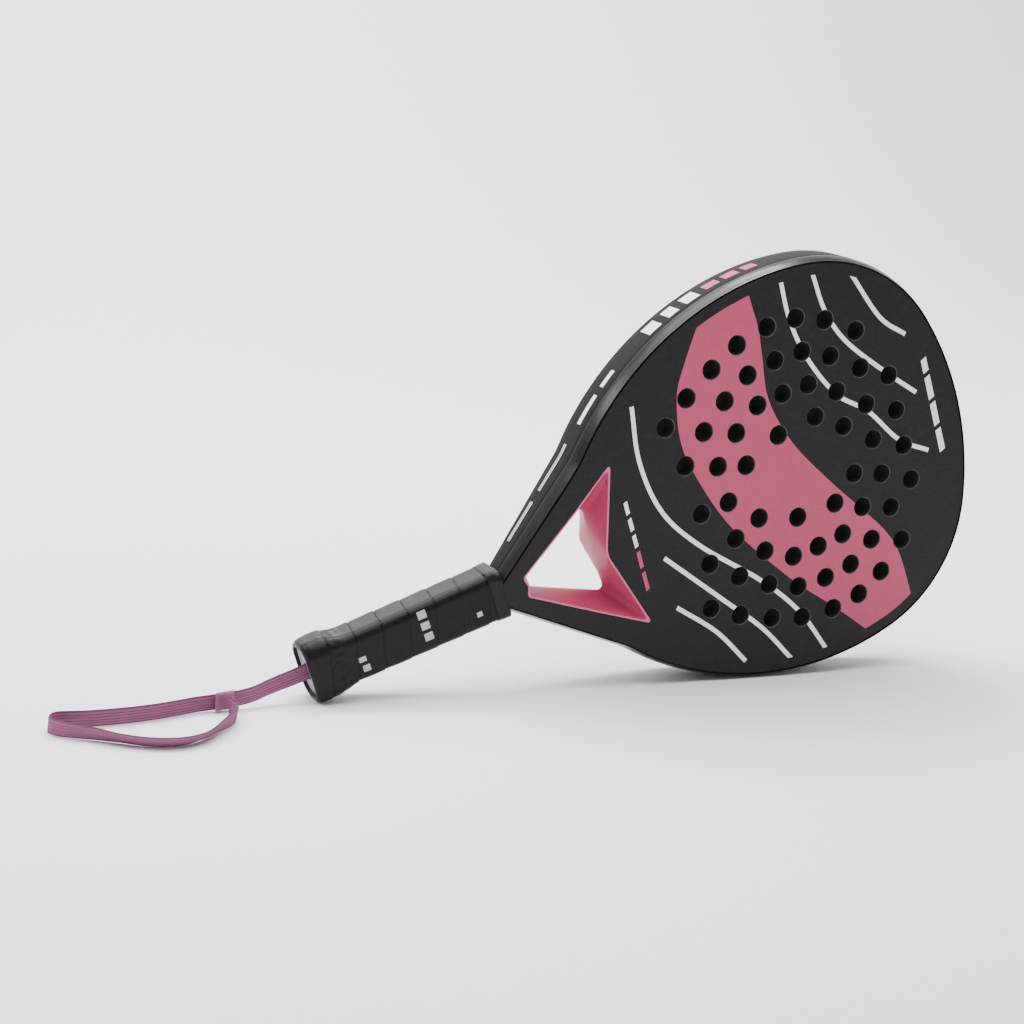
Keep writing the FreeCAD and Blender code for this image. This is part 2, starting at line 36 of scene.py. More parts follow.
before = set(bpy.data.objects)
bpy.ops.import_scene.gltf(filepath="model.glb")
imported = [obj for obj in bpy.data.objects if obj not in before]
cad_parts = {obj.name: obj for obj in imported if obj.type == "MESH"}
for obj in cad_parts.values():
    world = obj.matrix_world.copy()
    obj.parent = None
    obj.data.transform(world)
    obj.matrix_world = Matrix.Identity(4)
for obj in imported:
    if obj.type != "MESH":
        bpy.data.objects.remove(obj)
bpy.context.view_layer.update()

# ---------------------------------------------------------------- driving dimensions, millimetres

LENGTH = 455.0
HALF_WIDTH = 130.0
HALF_DEPTH = 19.0
WIDEST = 337.0
TIP_RADIUS = 191.0
SHOULDER_RADIUS = 97.5
CROWN_RADIUS = 174.5
HEART_RADIUS = 193.0
WAIST_RADIUS = 56.5
ARM_ANGLE = math.radians(39.0)
ARM_POINT = np.array([135.3, 18.25])
NECK = 127.0
HALF_NECK = 14.3
FULL_DEPTH_AT = 182.0
BAND_HALF = 10.0
BAND_HALF_NECK = 5.5
BAND_FULL_AT = 203.0
FACE_INSET = 3.7
REAR_STEP = 2.6
GRIP_END = 121.0
BUTT_EDGE = 4.0
BUTT_HALF_WIDTH = 19.5

# The racket rests on the lower edge of its butt, at support (v counted downwards), and on the
# lower side of its head, an arc whose centre is to_side away from there.
support = np.array([BUTT_EDGE * 0.3, BUTT_HALF_WIDTH - BUTT_EDGE * 0.2])
to_side = np.array([WIDEST - support[0], HEART_RADIUS - HALF_WIDTH + support[1]])
TILT = math.asin(HEART_RADIUS / np.hypot(*to_side)) - math.atan2(to_side[1], to_side[0])
BUTT_Z = support[1] * math.cos(TILT) - support[0] * math.sin(TILT)
BUTT_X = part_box("overgrip")[0].x * 1000 + (BUTT_HALF_WIDTH - BUTT_EDGE / 2) * math.sin(TILT)


def to_world(points):
    """Millimetres in the racket's frame to metres in the row frame."""
    p = np.asarray(points, float).reshape(-1, 3)
    x = p[:, 0] * math.cos(TILT) - p[:, 1] * math.sin(TILT) + BUTT_X
    z = p[:, 0] * math.sin(TILT) + p[:, 1] * math.cos(TILT) + BUTT_Z
    return np.stack([x, -p[:, 2], z], axis=1) / 1000


# ---------------------------------------------------------------- camera


CAMERA_EYE = (-0.6957, -1.28159, 0.43751)
CAMERA_FORWARD = (0.41633, 0.88069, -0.22595)
CAMERA_UP = (0.03531, 0.23267, 0.97192)
CAMERA_LENS = 85.9


def add_camera():
    """The camera fitted to the photograph: place and directions in metres, lens in millimetres."""
    eye = Vector(CAMERA_EYE)
    forward = Vector(CAMERA_FORWARD).normalized()
    up = Vector(CAMERA_UP).normalized()
    right = forward.cross(up).normalized()
    up = right.cross(forward)
    turn = Matrix((right, up, -forward)).transposed()
    data = bpy.data.cameras.new("product_view")
    data.sensor_width = 36.0
    data.lens = CAMERA_LENS
    camera = bpy.data.objects.new("product_view", data)
    bpy.context.scene.collection.objects.link(camera)
    camera.matrix_world = Matrix.Translation(eye) @ turn.to_4x4()
    bpy.context.scene.camera = camera


add_camera()

# ---------------------------------------------------------------- materials


def surface(name, color, rough=0.5, grain=0.6, depth=0.02, vary=0.12, patch=14.0, **extra):
    """A procedural finish: colour and roughness drift over patch mm, and a fine grain in relief."""
    made = bpy.data.materials.new(name)
    made.use_nodes = True
    nodes = made.node_tree.nodes
    links = made.node_tree.links
    shader = nodes["Principled BSDF"]
    place = nodes.new("ShaderNodeTexCoord")
    fine = nodes.new("ShaderNodeTexNoise")
    fine.inputs["Scale"].default_value = 1000 / grain
    fine.inputs["Detail"].default_value = 4.0
    broad = nodes.new("ShaderNodeTexNoise")
    broad.inputs["Scale"].default_value = 1000 / patch
    broad.inputs["Detail"].default_value = 3.0
    tint = nodes.new("ShaderNodeMix")
    tint.data_type = "RGBA"
    tint.inputs["A"].default_value = (*[c * (1 - vary) for c in color], 1)
    tint.inputs["B"].default_value = (*[min(1, c * (1 + vary)) for c in color], 1)
    gloss = nodes.new("ShaderNodeMapRange")
    gloss.inputs["To Min"].default_value = rough * 0.85
    gloss.inputs["To Max"].default_value = min(1, rough * 1.15)
    bump = nodes.new("ShaderNodeBump")
    bump.inputs["Strength"].default_value = 0.6
    bump.inputs["Distance"].default_value = depth / 1000
    for texture in (fine, broad):
        links.new(place.outputs["Object"], texture.inputs["Vector"])
    links.new(broad.outputs["Fac"], tint.inputs["Factor"])
    links.new(tint.outputs["Result"], shader.inputs["Base Color"])
    links.new(broad.outputs["Fac"], gloss.inputs["Value"])
    links.new(gloss.outputs["Result"], shader.inputs["Roughness"])
    links.new(fine.outputs["Fac"], bump.inputs["Height"])
    links.new(bump.outputs["Normal"], shader.inputs["Normal"])
    for key, value in extra.items():
        shader.inputs[key.replace("_", " ")].default_value = value
    return made


RELIEF_CELL = 7.0
RELIEF_DEPTH = 0.12
RELIEF_EDGE = 0.12
# how wide and how strong the painted sheen along the cells' edges is
PAINTED_SHEEN_EDGE = 0.06
PAINTED_SHEEN_STRENGTH = 0.13


def emboss(made, light):
    """Adds the face's faint pressed relief: cells some millimetres wide, made paler at their edges
    by a painted sheen.
    """
    nodes = made.node_tree.nodes
    links = made.node_tree.links
    shader = nodes["Principled BSDF"]
    grain = shader.inputs["Normal"].links[0].from_node
    place = nodes.new("ShaderNodeTexCoord")
    warp = nodes.new("ShaderNodeTexNoise")
    warp.inputs["Scale"].default_value = 1000 / (RELIEF_CELL * 1.6)
    spread = nodes.new("ShaderNodeVectorMath")
    spread.operation = "MULTIPLY_ADD"
    spread.inputs[1].default_value = (RELIEF_CELL * 0.0008,) * 3
    cells = nodes.new("ShaderNodeTexVoronoi")
    cells.feature = "DISTANCE_TO_EDGE"
    cells.inputs["Scale"].default_value = 1000 / RELIEF_CELL
    ridge = nodes.new("ShaderNodeMapRange")
    ridge.inputs["From Max"].default_value = RELIEF_EDGE
    bump = nodes.new("ShaderNodeBump")
    bump.inputs["Strength"].default_value = 0.5
    bump.inputs["Distance"].default_value = RELIEF_DEPTH / 1000
    tinted = shader.inputs["Base Color"].links[0].from_socket
    painted_sheen = nodes.new("ShaderNodeMapRange")
    painted_sheen.inputs["From Min"].default_value = PAINTED_SHEEN_EDGE
    painted_sheen.inputs["From Max"].default_value = 0.0
    painted_sheen.inputs["To Max"].default_value = PAINTED_SHEEN_STRENGTH
    sheen_mix = nodes.new("ShaderNodeMix")
    sheen_mix.data_type = "RGBA"
    sheen_mix.inputs["B"].default_value = (*light, 1)
    links.new(cells.outputs["Distance"], painted_sheen.inputs["Value"])
    links.new(painted_sheen.outputs["Result"], sheen_mix.inputs["Factor"])
    links.new(tinted, sheen_mix.inputs["A"])
    links.new(sheen_mix.outputs["Result"], shader.inputs["Base Color"])
    links.new(place.outputs["Object"], warp.inputs["Vector"])
    links.new(warp.outputs["Color"], spread.inputs[0])
    links.new(place.outputs["Object"], spread.inputs[2])
    links.new(spread.outputs["Vector"], cells.inputs["Vector"])
    links.new(cells.outputs["Distance"], ridge.inputs["Value"])
    links.new(ridge.outputs["Result"], bump.inputs["Height"])
    links.new(bump.outputs["Normal"], grain.inputs["Normal"])
    return made


LACQUER = surface(
    "face_lacquer", (0.0105, 0.0092, 0.0108), 0.5, depth=0.03, Specular_IOR_Level=0.2
)
# the second colour is the painted sheen along the relief's cell edges
BLACK_LACQUER = emboss(LACQUER, (0.028, 0.026, 0.03))
PINK = surface(
    "pink_print", (0.47, 0.063, 0.14), 0.5, depth=0.03, vary=0.05, Specular_IOR_Level=0.3
)
# the second colour is the painted sheen along the relief's cell edges
PINK_PRINT = emboss(PINK, (0.56, 0.11, 0.2))
WHITE_PRINT = surface("white_print", (0.90, 0.91, 0.98), 0.5, vary=0.01, Specular_IOR_Level=0.3)
RIM_GLOSS = surface(
    "rim_gloss", (0.0085, 0.0075, 0.009), 0.26, depth=0.012, Specular_IOR_Level=0.22
)
BAND_MATT = surface(
    "band_matt", (0.011, 0.0095, 0.0115), 0.55, depth=0.03, Specular_IOR_Level=0.06
)
THROAT_PINK = surface(
    "throat_lacquer", (0.42, 0.05, 0.115), 0.36, depth=0.01, vary=0.05, Specular_IOR_Level=0.12
)
# a brighter copy of the throat's pink for the lip: painted highlight
PAINTED_HIGHLIGHT_PINK = surface(
    "throat_lip_painted_highlight", (0.62, 0.13, 0.24), 0.4, depth=0.01, vary=0.04, Specular_IOR_Level=0.4
)
CORE_FOAM = surface("core_foam", (0.005, 0.005, 0.005), 0.9, grain=0.5, depth=0.15)
GRIP_TAPE = surface(
    "grip_tape",
    (0.0075, 0.007, 0.008),
    0.3,
    grain=0.45,
    depth=0.05,
    vary=0.2,
    Specular_IOR_Level=0.13,
)
GRIP_PRINT = surface("grip_print", (0.42, 0.42, 0.43), 0.55, vary=0.1)
COLLAR_TAPE = surface(
    "collar_tape", (0.009, 0.008, 0.0095), 0.28, grain=0.5, depth=0.03, Specular_IOR_Level=0.16
)
PLATE_GREY = surface("plate_grey", (0.22, 0.21, 0.25), 0.5, depth=0.03)
CAP_RUBBER = surface("cap_rubber", (0.01, 0.01, 0.011), 0.55, depth=0.05, Specular_IOR_Level=0.3)
CORD_CLOTH = surface(
    "cord_cloth", (0.26, 0.095, 0.175), 0.85, grain=0.35, depth=0.12, Specular_IOR_Level=0.2
)
CORD_SHADE = surface(
    "cord_valley", (0.13, 0.045, 0.085), 0.9, grain=0.35, depth=0.1, Specular_IOR_Level=0.1
)
HOLE_EDGE = surface("hole_edge", (0.06, 0.058, 0.062), 0.3, depth=0.01)
HIDDEN = surface("inner_resin", (0.1, 0.1, 0.1), 0.6)
FOAM_WHITE = surface("inner_foam", (0.7, 0.69, 0.65), 0.9, grain=0.6, depth=0.1)
PIN_STEEL = surface("pin_steel", (0.55, 0.55, 0.56), 0.35, Metallic=1.0)

# ---------------------------------------------------------------- mesh helpers


def add_piece(name, points, faces, materials, face_slots=None, sharp=30.0, world=False):
    """A mesh piece on the racket, from millimetre points; world: they are in the row frame."""
    place = np.asarray(points, float) / 1000 if world else to_world(points)
    mesh = bpy.data.meshes.new(name)
    mesh.from_pydata(place.tolist(), [], faces)
    for made in materials:
        mesh.materials.append(made)
    if face_slots is not None:
        mesh.polygons.foreach_set("material_index", np.asarray(face_slots, np.int32))
    mesh.validate()
    mesh.shade_smooth()
    mesh.set_sharp_from_angle(angle=math.radians(sharp))
    mesh.update()
    piece = bpy.data.objects.new(name, mesh)
    bpy.context.scene.collection.objects.link(piece)
    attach(piece, "root")
    return piece


def grid_faces(rows, columns, wrap_rows=False, wrap_columns=False, flip=False):
    """Quads between points stored row by row, with the last row or column joined to the first."""
    faces = []
    for i in range(rows if wrap_rows else rows - 1):
        for j in range(columns if wrap_columns else columns - 1):
            k = (i + 1) % rows
            m = (j + 1) % columns
            quad = (i * columns + j, i * columns + m, k * columns + m, k * columns + j)
            faces.append(quad[::-1] if flip else quad)
    return faces


CURVE_STEPS = 14


def smooth_curve(points):
    """A Catmull-Rom curve through the points."""
    p = np.asarray(points, float)
    p = np.vstack([2 * p[0] - p[1], p, 2 * p[-1] - p[-2]])
    out = []
    for a, b, c, d in zip(p, p[1:], p[2:], p[3:]):
        for t in np.arange(CURVE_STEPS) / CURVE_STEPS:
            cubic = (3 * b - a - 3 * c + d) * t**3 + (2 * a - 5 * b + 4 * c - d) * t**2
            out.append(0.5 * (2 * b + (c - a) * t + cubic))
    return np.array(out + [p[-2]])


def is_inside(polygon, points):
    """Even-odd test of points against a closed polygon."""
    x, y = points[:, 0], points[:, 1]
    inside = np.zeros(len(points), bool)
    for (x0, y0), (x1, y1) in zip(polygon, np.roll(polygon, -1, axis=0)):
        if y0 == y1:
            continue
        crosses = (y0 > y) != (y1 > y)
        inside ^= crosses & (x < (x1 - x0) * (y - y0) / (y1 - y0) + x0)
    return inside


# ---------------------------------------------------------------- outline of the racket


def angle_of(vector):
    return math.atan2(vector[1], vector[0])


def upper_stretches():
    """Centre, radius, bulge and angles of each arc of the upper half, from the tip to the arm."""
    tip = np.array([LENGTH - TIP_RADIUS, 0.0])
    crown = np.array([WIDEST, HALF_WIDTH - CROWN_RADIUS])
    heart = np.array([WIDEST, HALF_WIDTH - HEART_RADIUS])
    gap = crown - tip
    span = np.hypot(*gap)
    first = TIP_RADIUS - SHOULDER_RADIUS
    second = CROWN_RADIUS - SHOULDER_RADIUS
    along = (first**2 - second**2 + span**2) / (2 * span)
    rise = math.sqrt(first**2 - along**2)
    shoulder = tip + gap / span * along + np.array([-gap[1], gap[0]]) / span * rise
    run = np.array([math.cos(ARM_ANGLE), math.sin(ARM_ANGLE)])
    outward = np.array([-run[1], run[0]])
    away = ARM_POINT + outward * WAIST_RADIUS - heart
    reach = HEART_RADIUS + WAIST_RADIUS
    step = -away @ run - math.sqrt((away @ run) ** 2 - away @ away + reach**2)
    waist = heart + away + run * step
    first_turn = angle_of(shoulder - tip)
    second_turn = angle_of(shoulder - crown)
    third_turn = angle_of(waist - heart)
    arcs = [
        (tip, TIP_RADIUS, 1, 0.0, first_turn, 40),
        (shoulder, SHOULDER_RADIUS, 1, first_turn, second_turn, 60),
        (crown, CROWN_RADIUS, 1, second_turn, math.pi / 2, 20),
        (heart, HEART_RADIUS, 1, math.pi / 2, third_turn, 80),
        (waist, WAIST_RADIUS, -1, third_turn + math.pi, ARM_ANGLE + 1.5 * math.pi, 8),
    ]
    return arcs, run


ARCS, ARM_RUN = upper_stretches()


def outline(inset, end_at=NECK):
    """Points from the lower side of the neck round the tip to the upper side, at inset."""
    upper = []
    for centre, radius, bulge, start, end, count in ARCS:
        angles = np.linspace(start, end, count, endpoint=False)
        ring = np.stack([np.cos(angles), np.sin(angles)], axis=1) * (radius - bulge * inset)
        upper.append(centre + ring)
    centre, radius, bulge, start, end, count = ARCS[-1]
    last = centre + np.array([math.cos(end), math.sin(end)]) * (radius + inset)
    neck = last + ARM_RUN * (end_at - last[0]) / ARM_RUN[0]
    upper.append(last + (neck - last) * np.linspace(0, 1, 41)[:, None])
    upper = np.vstack(upper)
    lower = upper[:0:-1] * (1, -1)
    return np.vstack([lower, upper])


def half_depth(u):
    """Half the racket's thickness, growing from the neck to the full depth of the head."""
    return np.interp(u, [NECK, FULL_DEPTH_AT], [HALF_NECK, HALF_DEPTH])


def band_half(u):
    """Half the width of the band let into the edge."""
    return np.interp(u, [NECK, BAND_FULL_AT], [BAND_HALF_NECK, BAND_HALF])


def rim_height(u, w):
    """Depth coordinate of a rim point: the band and the bevel both narrow towards the neck."""
    band = band_half(u)
    on_band = np.minimum(np.abs(w), BAND_HALF) * band / BAND_HALF
    spread = (half_depth(u) - band) / (HALF_DEPTH - BAND_HALF)
    beyond = np.maximum(np.abs(w) - BAND_HALF, 0) * spread
    return np.sign(w) * (on_band + beyond)


def rim_sweep(name, profile, made, sharp):
    """Sweeps a closed profile of (inset, depth) points round the outline, with capped ends."""
    rings = []
    for inset, w in profile:
        line = outline(inset)
        rings.append(np.column_stack([line, rim_height(line[:, 0], np.full(len(line), w))]))
    points = np.array(rings).transpose(1, 0, 2)
    rows, columns = points.shape[:2]
    faces = grid_faces(rows, columns, wrap_columns=True)
    faces.append(tuple(range(columns))[::-1])
    faces.append(tuple((rows - 1) * columns + j for j in range(columns)))
    return add_piece(name, points.reshape(-1, 3), faces, [made], sharp=sharp)


def front_rim_profile():
    """From under the face, through its groove, over the lip and down the bevel to the band."""
    groove = [(9.0, 17.2), (3.8, 17.2), (3.6, 17.6), (2.95, 17.6), (2.84, 17.9)]
    lip = [(2.8, 18.68), (2.72, 18.9), (2.6, 19.0), (2.46, 18.94)]
    bevel = []
    for t in np.linspace(0.06, 0.97, 9):
        crown = 0.3 * math.sin(math.pi * t)
        bevel.append((2.5 * (1 - t) - crown * 0.9 + 0.05, 19.0 - 8.1 * t + crown * 0.25))
    foot = [(0.12, 10.72), (0.55, 10.68), (1.3, 10.68)]
    return groove + lip + bevel + foot


REAR_STEP_FROM = 10.7
REAR_STEP_RUN = 6.9


def rear_rim_profile():
    """The front profile mirrored, with a wider bevel: it leans inwards by REAR_STEP."""
    rear = []
    for inset, w in reversed(front_rim_profile()):
        lean = min(1, max(0, w - REAR_STEP_FROM) / REAR_STEP_RUN)
        rear.append((inset + REAR_STEP * lean, -w))
    return rear


def add_rim():
    """The glossy shell of the rim, and the matt band let into its edge."""
    rim = rim_sweep("rim_shell", front_rim_profile() + rear_rim_profile(), RIM_GLOSS, 40)
    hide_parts("frame_tube")
    side = [(1.2, 9.95), (0.9, 9.95), (0.4, 9.95), (0.18, 9.8), (0.05, 9.3)]
    crown = [(0.0, w) for w in (5.0, 0.0, -5.0)]
    band_profile = side + crown + [(inset, -w) for inset, w in reversed(side)]
    band = rim_sweep("rim_band", band_profile, BAND_MATT, 50)
    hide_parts("edge_band")


# ---------------------------------------------------------------- throat opening

# the opening's corners (u, v) at the faces and half way through, and how far each is rounded
FACE_THROAT = [(142, 0), (140, -6.3), (212.2, -54.4), (195.0, 0), (212.2, 54.4), (140, 6.3)]
MIDDLE_THROAT = [(146, 0), (144, -6.5), (195.2, -30.6), (194.6, 0), (195.2, 30.6), (144, 6.5)]
FACE_ROUND = [0.8, 1.6, 3.6, 3.0, 3.6, 1.6]
MIDDLE_ROUND = [2.0, 2.5, 4.0, 9.0, 4.0, 2.5]
LINER_LIP = 1.2
ROUND_STEPS = 9
SIDE_STEPS = 14


def throat_loop(corners, rounding, inset):
    """A closed loop round the opening, moved inwards, with the same points along each side."""
    p = np.asarray(corners, float)
    ahead = np.roll(p, -1, axis=0) - p
    ahead /= np.linalg.norm(ahead, axis=1)[:, None]
    back = np.roll(ahead, 1, axis=0)
    normals = np.stack([-ahead[:, 1] - back[:, 1], ahead[:, 0] + back[:, 0]], axis=1)
    p = p + normals * (inset / (1 + (ahead * back).sum(axis=1)))[:, None]
    loop = []
    for i, corner in enumerate(p):
        before = p[i - 1] - corner
        after = p[(i + 1) % len(p)] - corner
        reach = min(rounding[i] * 1.6, 0.45 * np.hypot(*before), 0.45 * np.hypot(*after))
        start = corner + before / np.hypot(*before) * reach
        end = corner + after / np.hypot(*after) * reach
        for t in np.linspace(0, 1, ROUND_STEPS):
            loop.append(start * (1 - t) ** 2 + corner * 2 * t * (1 - t) + end * t**2)
        following = p[(i + 1) % len(p)]
        next_reach = min(rounding[(i + 1) % len(p)] * 1.6, 0.45 * np.hypot(*after))
        stop = following - after / np.hypot(*after) * next_reach
        for t in np.linspace(0, 1, SIDE_STEPS)[1:-1]:
            loop.append(end + (stop - end) * t)
    return np.array(loop)


def add_throat_liner():
    """The opening's lining: a lip on each face, coloured a brighter pink as a painted highlight,
    and walls that swell inwards between them.
    """
    face_outer = throat_loop(FACE_THROAT, FACE_ROUND, 0.0)
    face_inner = throat_loop(FACE_THROAT, FACE_ROUND, LINER_LIP)
    middle_inner = throat_loop(MIDDLE_THROAT, MIDDLE_ROUND, LINER_LIP)
    middle_outer = throat_loop(MIDDLE_THROAT, MIDDLE_ROUND, 0.0)
    top = half_depth(face_outer[:, 0])
    lip = face_inner - face_outer
    rings = [
        np.column_stack([face_outer, top - 0.25]),
        np.column_stack([face_outer + lip * 0.18, top - 0.02]),
        np.column_stack([face_outer + lip * 0.72, top - 0.02]),
        np.column_stack([face_inner, top - 0.3]),
    ]
    for t in np.linspace(0, 1, 23)[1:-1]:
        level = math.cos(math.pi * t)
        swell = 1 - abs(level) ** 1.5
        ring = face_inner + (middle_inner - face_inner) * swell
        rings.append(np.column_stack([ring, level * (top - 0.3)]))
    rings += [ring * (1, 1, -1) for ring in rings[3::-1]]
    rings.append(np.column_stack([middle_outer, np.zeros(len(middle_outer))]))
    points = np.array(rings)
    rows, columns = points.shape[:2]
    faces = grid_faces(rows, columns, wrap_rows=True, wrap_columns=True, flip=True)
    # the lip's rows take the brighter pink: painted highlight along the lip
    painted_highlight_rows = [int(i < 3 or rows - 5 <= i < rows - 2) for i in range(rows)]
    slots = [kind for kind in painted_highlight_rows for _ in range(columns)]
    finishes = [THROAT_PINK, PAINTED_HIGHLIGHT_PINK]
    liner = add_piece("throat_lining", points.reshape(-1, 3), faces, finishes, slots, 50)
    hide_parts("throat_liner")


# ---------------------------------------------------------------- holes

HOLE_RADIUS = 6.0
HOLE_SIDES = 48
HOLE_BREAK = 0.35

# depth and radius down a hole's wall
HOLE_WALL = [(18.35, 6.0), (17.4, 5.93), (6.0, 5.9), (-6.0, 5.9), (-17.4, 5.93), (-18.35, 6.0)]

# each row across the head: where it crosses the axis, its first hole, pitch, holes a side, bow
HOLE_ROWS = [
    (407.6, 12.0, 23.8, 2, 0.0),
    (387.4, 0.0, 23.9, 4, 8.5e-4),
    (369.0, 16.2, 23.3, 4, 4.6e-4),
    (351.2, 29.5, 21.6, 4, 2.5e-4),
    (333.2, 52.0, 22.0, 3, 0.0),
    (324.0, 28.0, 22.0, 1, 0.0),
    (316.8, 51.4, 20.6, 3, -7.0e-4),
    (298.5, 18.0, 22.1, 4, -1.12e-3),
    (280.6, 0.0, 24.5, 4, -1.95e-3),
    (261.2, 0.0, 24.5, 1, 0.0),
    (261.2, 33.2, 27.9, 2, -2.45e-3),
]


def hole_centres():
    """Where the holes cross the racket, as (u, v): each row is mirrored about the axis."""
    centres = []
    for u, first, pitch, count, bow in HOLE_ROWS:
        for i in range(count):
            v = first + pitch * i
            centres += [(u + bow * v**2, side * v) for side in ((1, -1) if v else (1,))]
    return centres


def ring_at(centre, radius):
    turn = np.arange(HOLE_SIDES) * 2 * math.pi / HOLE_SIDES
    return np.asarray(centre) + radius * np.stack([np.cos(turn), np.sin(turn)], axis=1)


def add_hole_walls():
    """Each hole's foam wall, right through the core."""
    points = []
    faces = []
    for centre in hole_centres():
        base = len(points)
        for w, radius in HOLE_WALL:
            points += [(u, v, w) for u, v in ring_at(centre, radius)]
        quads = grid_faces(len(HOLE_WALL), HOLE_SIDES, wrap_columns=True, flip=True)
        faces += [tuple(q + base for q in quad) for quad in quads]
    walls = add_piece("hole_walls", points, faces, [CORE_FOAM])


# ---------------------------------------------------------------- printed faces

LINE_WIDTH = 2.8
PRINT_MARGIN = 10.5

# the face's edge, as (further inset, drop): flat to its end, then broken, then down to its groove
FACE_EDGE = [(0.3, 0.0), (0.05, 0.22), (0.0, 1.4)]

# points (u, v) along each printed line, and along both edges of the coloured band
WHITE_LINES = [
    [(323, -122), (310, -88), (289, -57), (255, -19), (236, 12), (230, 47), (234, 82)],
    [(297, -116), (282.5, -88), (262, -60), (230, -17)],
    [(266, -104), (251.5, -77), (230, -51)],
    [(424, -22), (405, -7), (388, 19), (369, 38), (355, 67), (349, 95), (349, 121)],
    [(424, 18), (406.5, 38), (384, 67), (374, 91), (371, 118)],
    [(425, 57), (410, 74), (397, 107)],
]
BAND_HEART_EDGE = [
    (296, 124), (287.6, 112.9), (273.7, 93.8), (264.5, 77.9), (259.4, 51), (263.2, 25.5),
    (278.2, -15.8), (309.1, -64.1), (334.9, -95.7), (355.2, -122.3), (360, -129),
]
BAND_TIP_EDGE = [
    (325.5, 130), (326.5, 112), (327.2, 97), (325.5, 80), (323, 52), (332, 20),
    (350, -12), (367, -38), (381, -60), (388, -80), (390, -113), (390, -120),
]


def stroke(points, width):
    """The outline of a line of one width along a smooth curve."""
    line = smooth_curve(points)
    along = np.gradient(line, axis=0)
    along /= np.linalg.norm(along, axis=1)[:, None]
    side = np.stack([-along[:, 1], along[:, 0]], axis=1) * width / 2
    return np.vstack([line + side, (line - side)[::-1]])


def slanted_bar(u, v, length, width, slant=0.35):
    """A short printed bar along v, with slanted ends."""
    lean = slant * width / 2
    half = width / 2
    end = v + length
    corners = [(u - half, v - lean), (u + half, v + lean)]
    corners += [(u + half, end + lean), (u - half, end - lean)]
    return np.array(corners)


def printed_marks():
    """Plain bars where such a racket carries its lettering: white ones and pink ones."""
    tip_bars = [(-26, 15), (-8, 15), (10, 15), (28, 9)]
    white = [slanted_bar(434.0, v, length, 4.2) for v, length in tip_bars]
    white += [slanted_bar(214.5, v, length, 2.6) for v, length in ((-3, 8), (8, 8), (19, 8))]
    pink = [slanted_bar(214.5, v, length, 2.6) for v, length in ((-32, 12), (-17, 11))]
    return white, pink


def face_regions(step):
    """Triangles of the flat face, with 0 for black, 1 for pink and 2 for white."""
    edge = outline(FACE_INSET + step + FACE_EDGE[0][0])
    opening = throat_loop(FACE_THROAT, FACE_ROUND, -0.05)
    margin = outline(PRINT_MARGIN)
    holes = [ring_at(centre, HOLE_RADIUS + HOLE_BREAK) for centre in hole_centres()]
    band = np.vstack([smooth_curve(BAND_HEART_EDGE), smooth_curve(BAND_TIP_EDGE)[::-1]])
    white_bars, pink_bars = printed_marks()
    white = [stroke(points, LINE_WIDTH) for points in WHITE_LINES] + white_bars
    pink = [band] + pink_bars
    points = []
    edges = []
    for loop in [edge, opening, margin, *holes, *white, *pink]:
        base = len(points)
        points += [Vector((u, v)) for u, v in loop]
        edges += [(base + i, base + (i + 1) % len(loop)) for i in range(len(loop))]
    # one more line across, where the face bends as the racket reaches its full depth
    base = len(points)
    points += [Vector((FULL_DEPTH_AT, -60)), Vector((FULL_DEPTH_AT, 60))]
    edges.append((base, base + 1))
    made, _, triangles, *_ = delaunay_2d_cdt(points, edges, [], 0, 1e-4)
    flat = np.array([(p.x, p.y) for p in made])
    triangles = np.array([t for t in triangles if len(t) == 3])
    middles = flat[triangles].mean(axis=1)
    keep = is_inside(edge, middles) & ~is_inside(opening, middles)
    for centre in hole_centres():
        keep &= np.hypot(*(middles - centre).T) > HOLE_RADIUS + HOLE_BREAK - 0.01
    in_margin = is_inside(margin, middles)
    color = np.zeros(len(middles), int)
    for polygon in pink:
        color[is_inside(polygon, middles) & in_margin] = 1
    for polygon in white:
        color[is_inside(polygon, middles) & in_margin] = 2
    return flat, triangles[keep], color[keep]


def add_face(name, side, node, regions):
    """One printed laminate with a broken edge, and a bevelled ring round each hole."""
    flat, triangles, color = regions
    step = 0.0 if side > 0 else REAR_STEP
    points = [(u, v, side * half_depth(u)) for u, v in flat]
    faces = [tuple(t) if side > 0 else tuple(t[::-1]) for t in triangles.tolist()]
    slots = color.tolist()
    base = len(points)
    for more, drop in FACE_EDGE:
        line = outline(FACE_INSET + step + more)
        points += [(u, v, side * (half_depth(u) - drop)) for u, v in line]
    for quad in grid_faces(len(FACE_EDGE), len(line), wrap_columns=True, flip=side > 0):
        faces.append(tuple(q + base for q in quad))
        slots.append(0)
    break_rings = [(HOLE_RADIUS + HOLE_BREAK, 0.0), (HOLE_RADIUS + 0.1, 0.2), (HOLE_RADIUS, 0.65)]
    for centre in hole_centres():
        base = len(points)
        for radius, drop in break_rings:
            points += [(u, v, side * (HALF_DEPTH - drop)) for u, v in ring_at(centre, radius)]
        for quad in grid_faces(len(break_rings), HOLE_SIDES, wrap_columns=True, flip=side < 0):
            faces.append(tuple(q + base for q in quad))
            slots.append(3)
    finishes = [BLACK_LACQUER, PINK_PRINT, WHITE_PRINT, HOLE_EDGE]
    piece = add_piece(name, points, faces, finishes, slots, 25)
    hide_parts(node)


# ---------------------------------------------------------------- marks on the rim


MARK_LIFT = 0.04


def band_mark(start, end, low, high):
    """A thin printed patch on the band's upper side, from one u to another, between two depths."""
    line = outline(-MARK_LIFT)
    upper = line[len(line) // 2 :]
    chosen = upper[(upper[:, 0] > start) & (upper[:, 0] < end)]
    depths = np.linspace(low, high, 3)
    return np.array([[(u, v, w) for w in depths] for u, v in chosen])


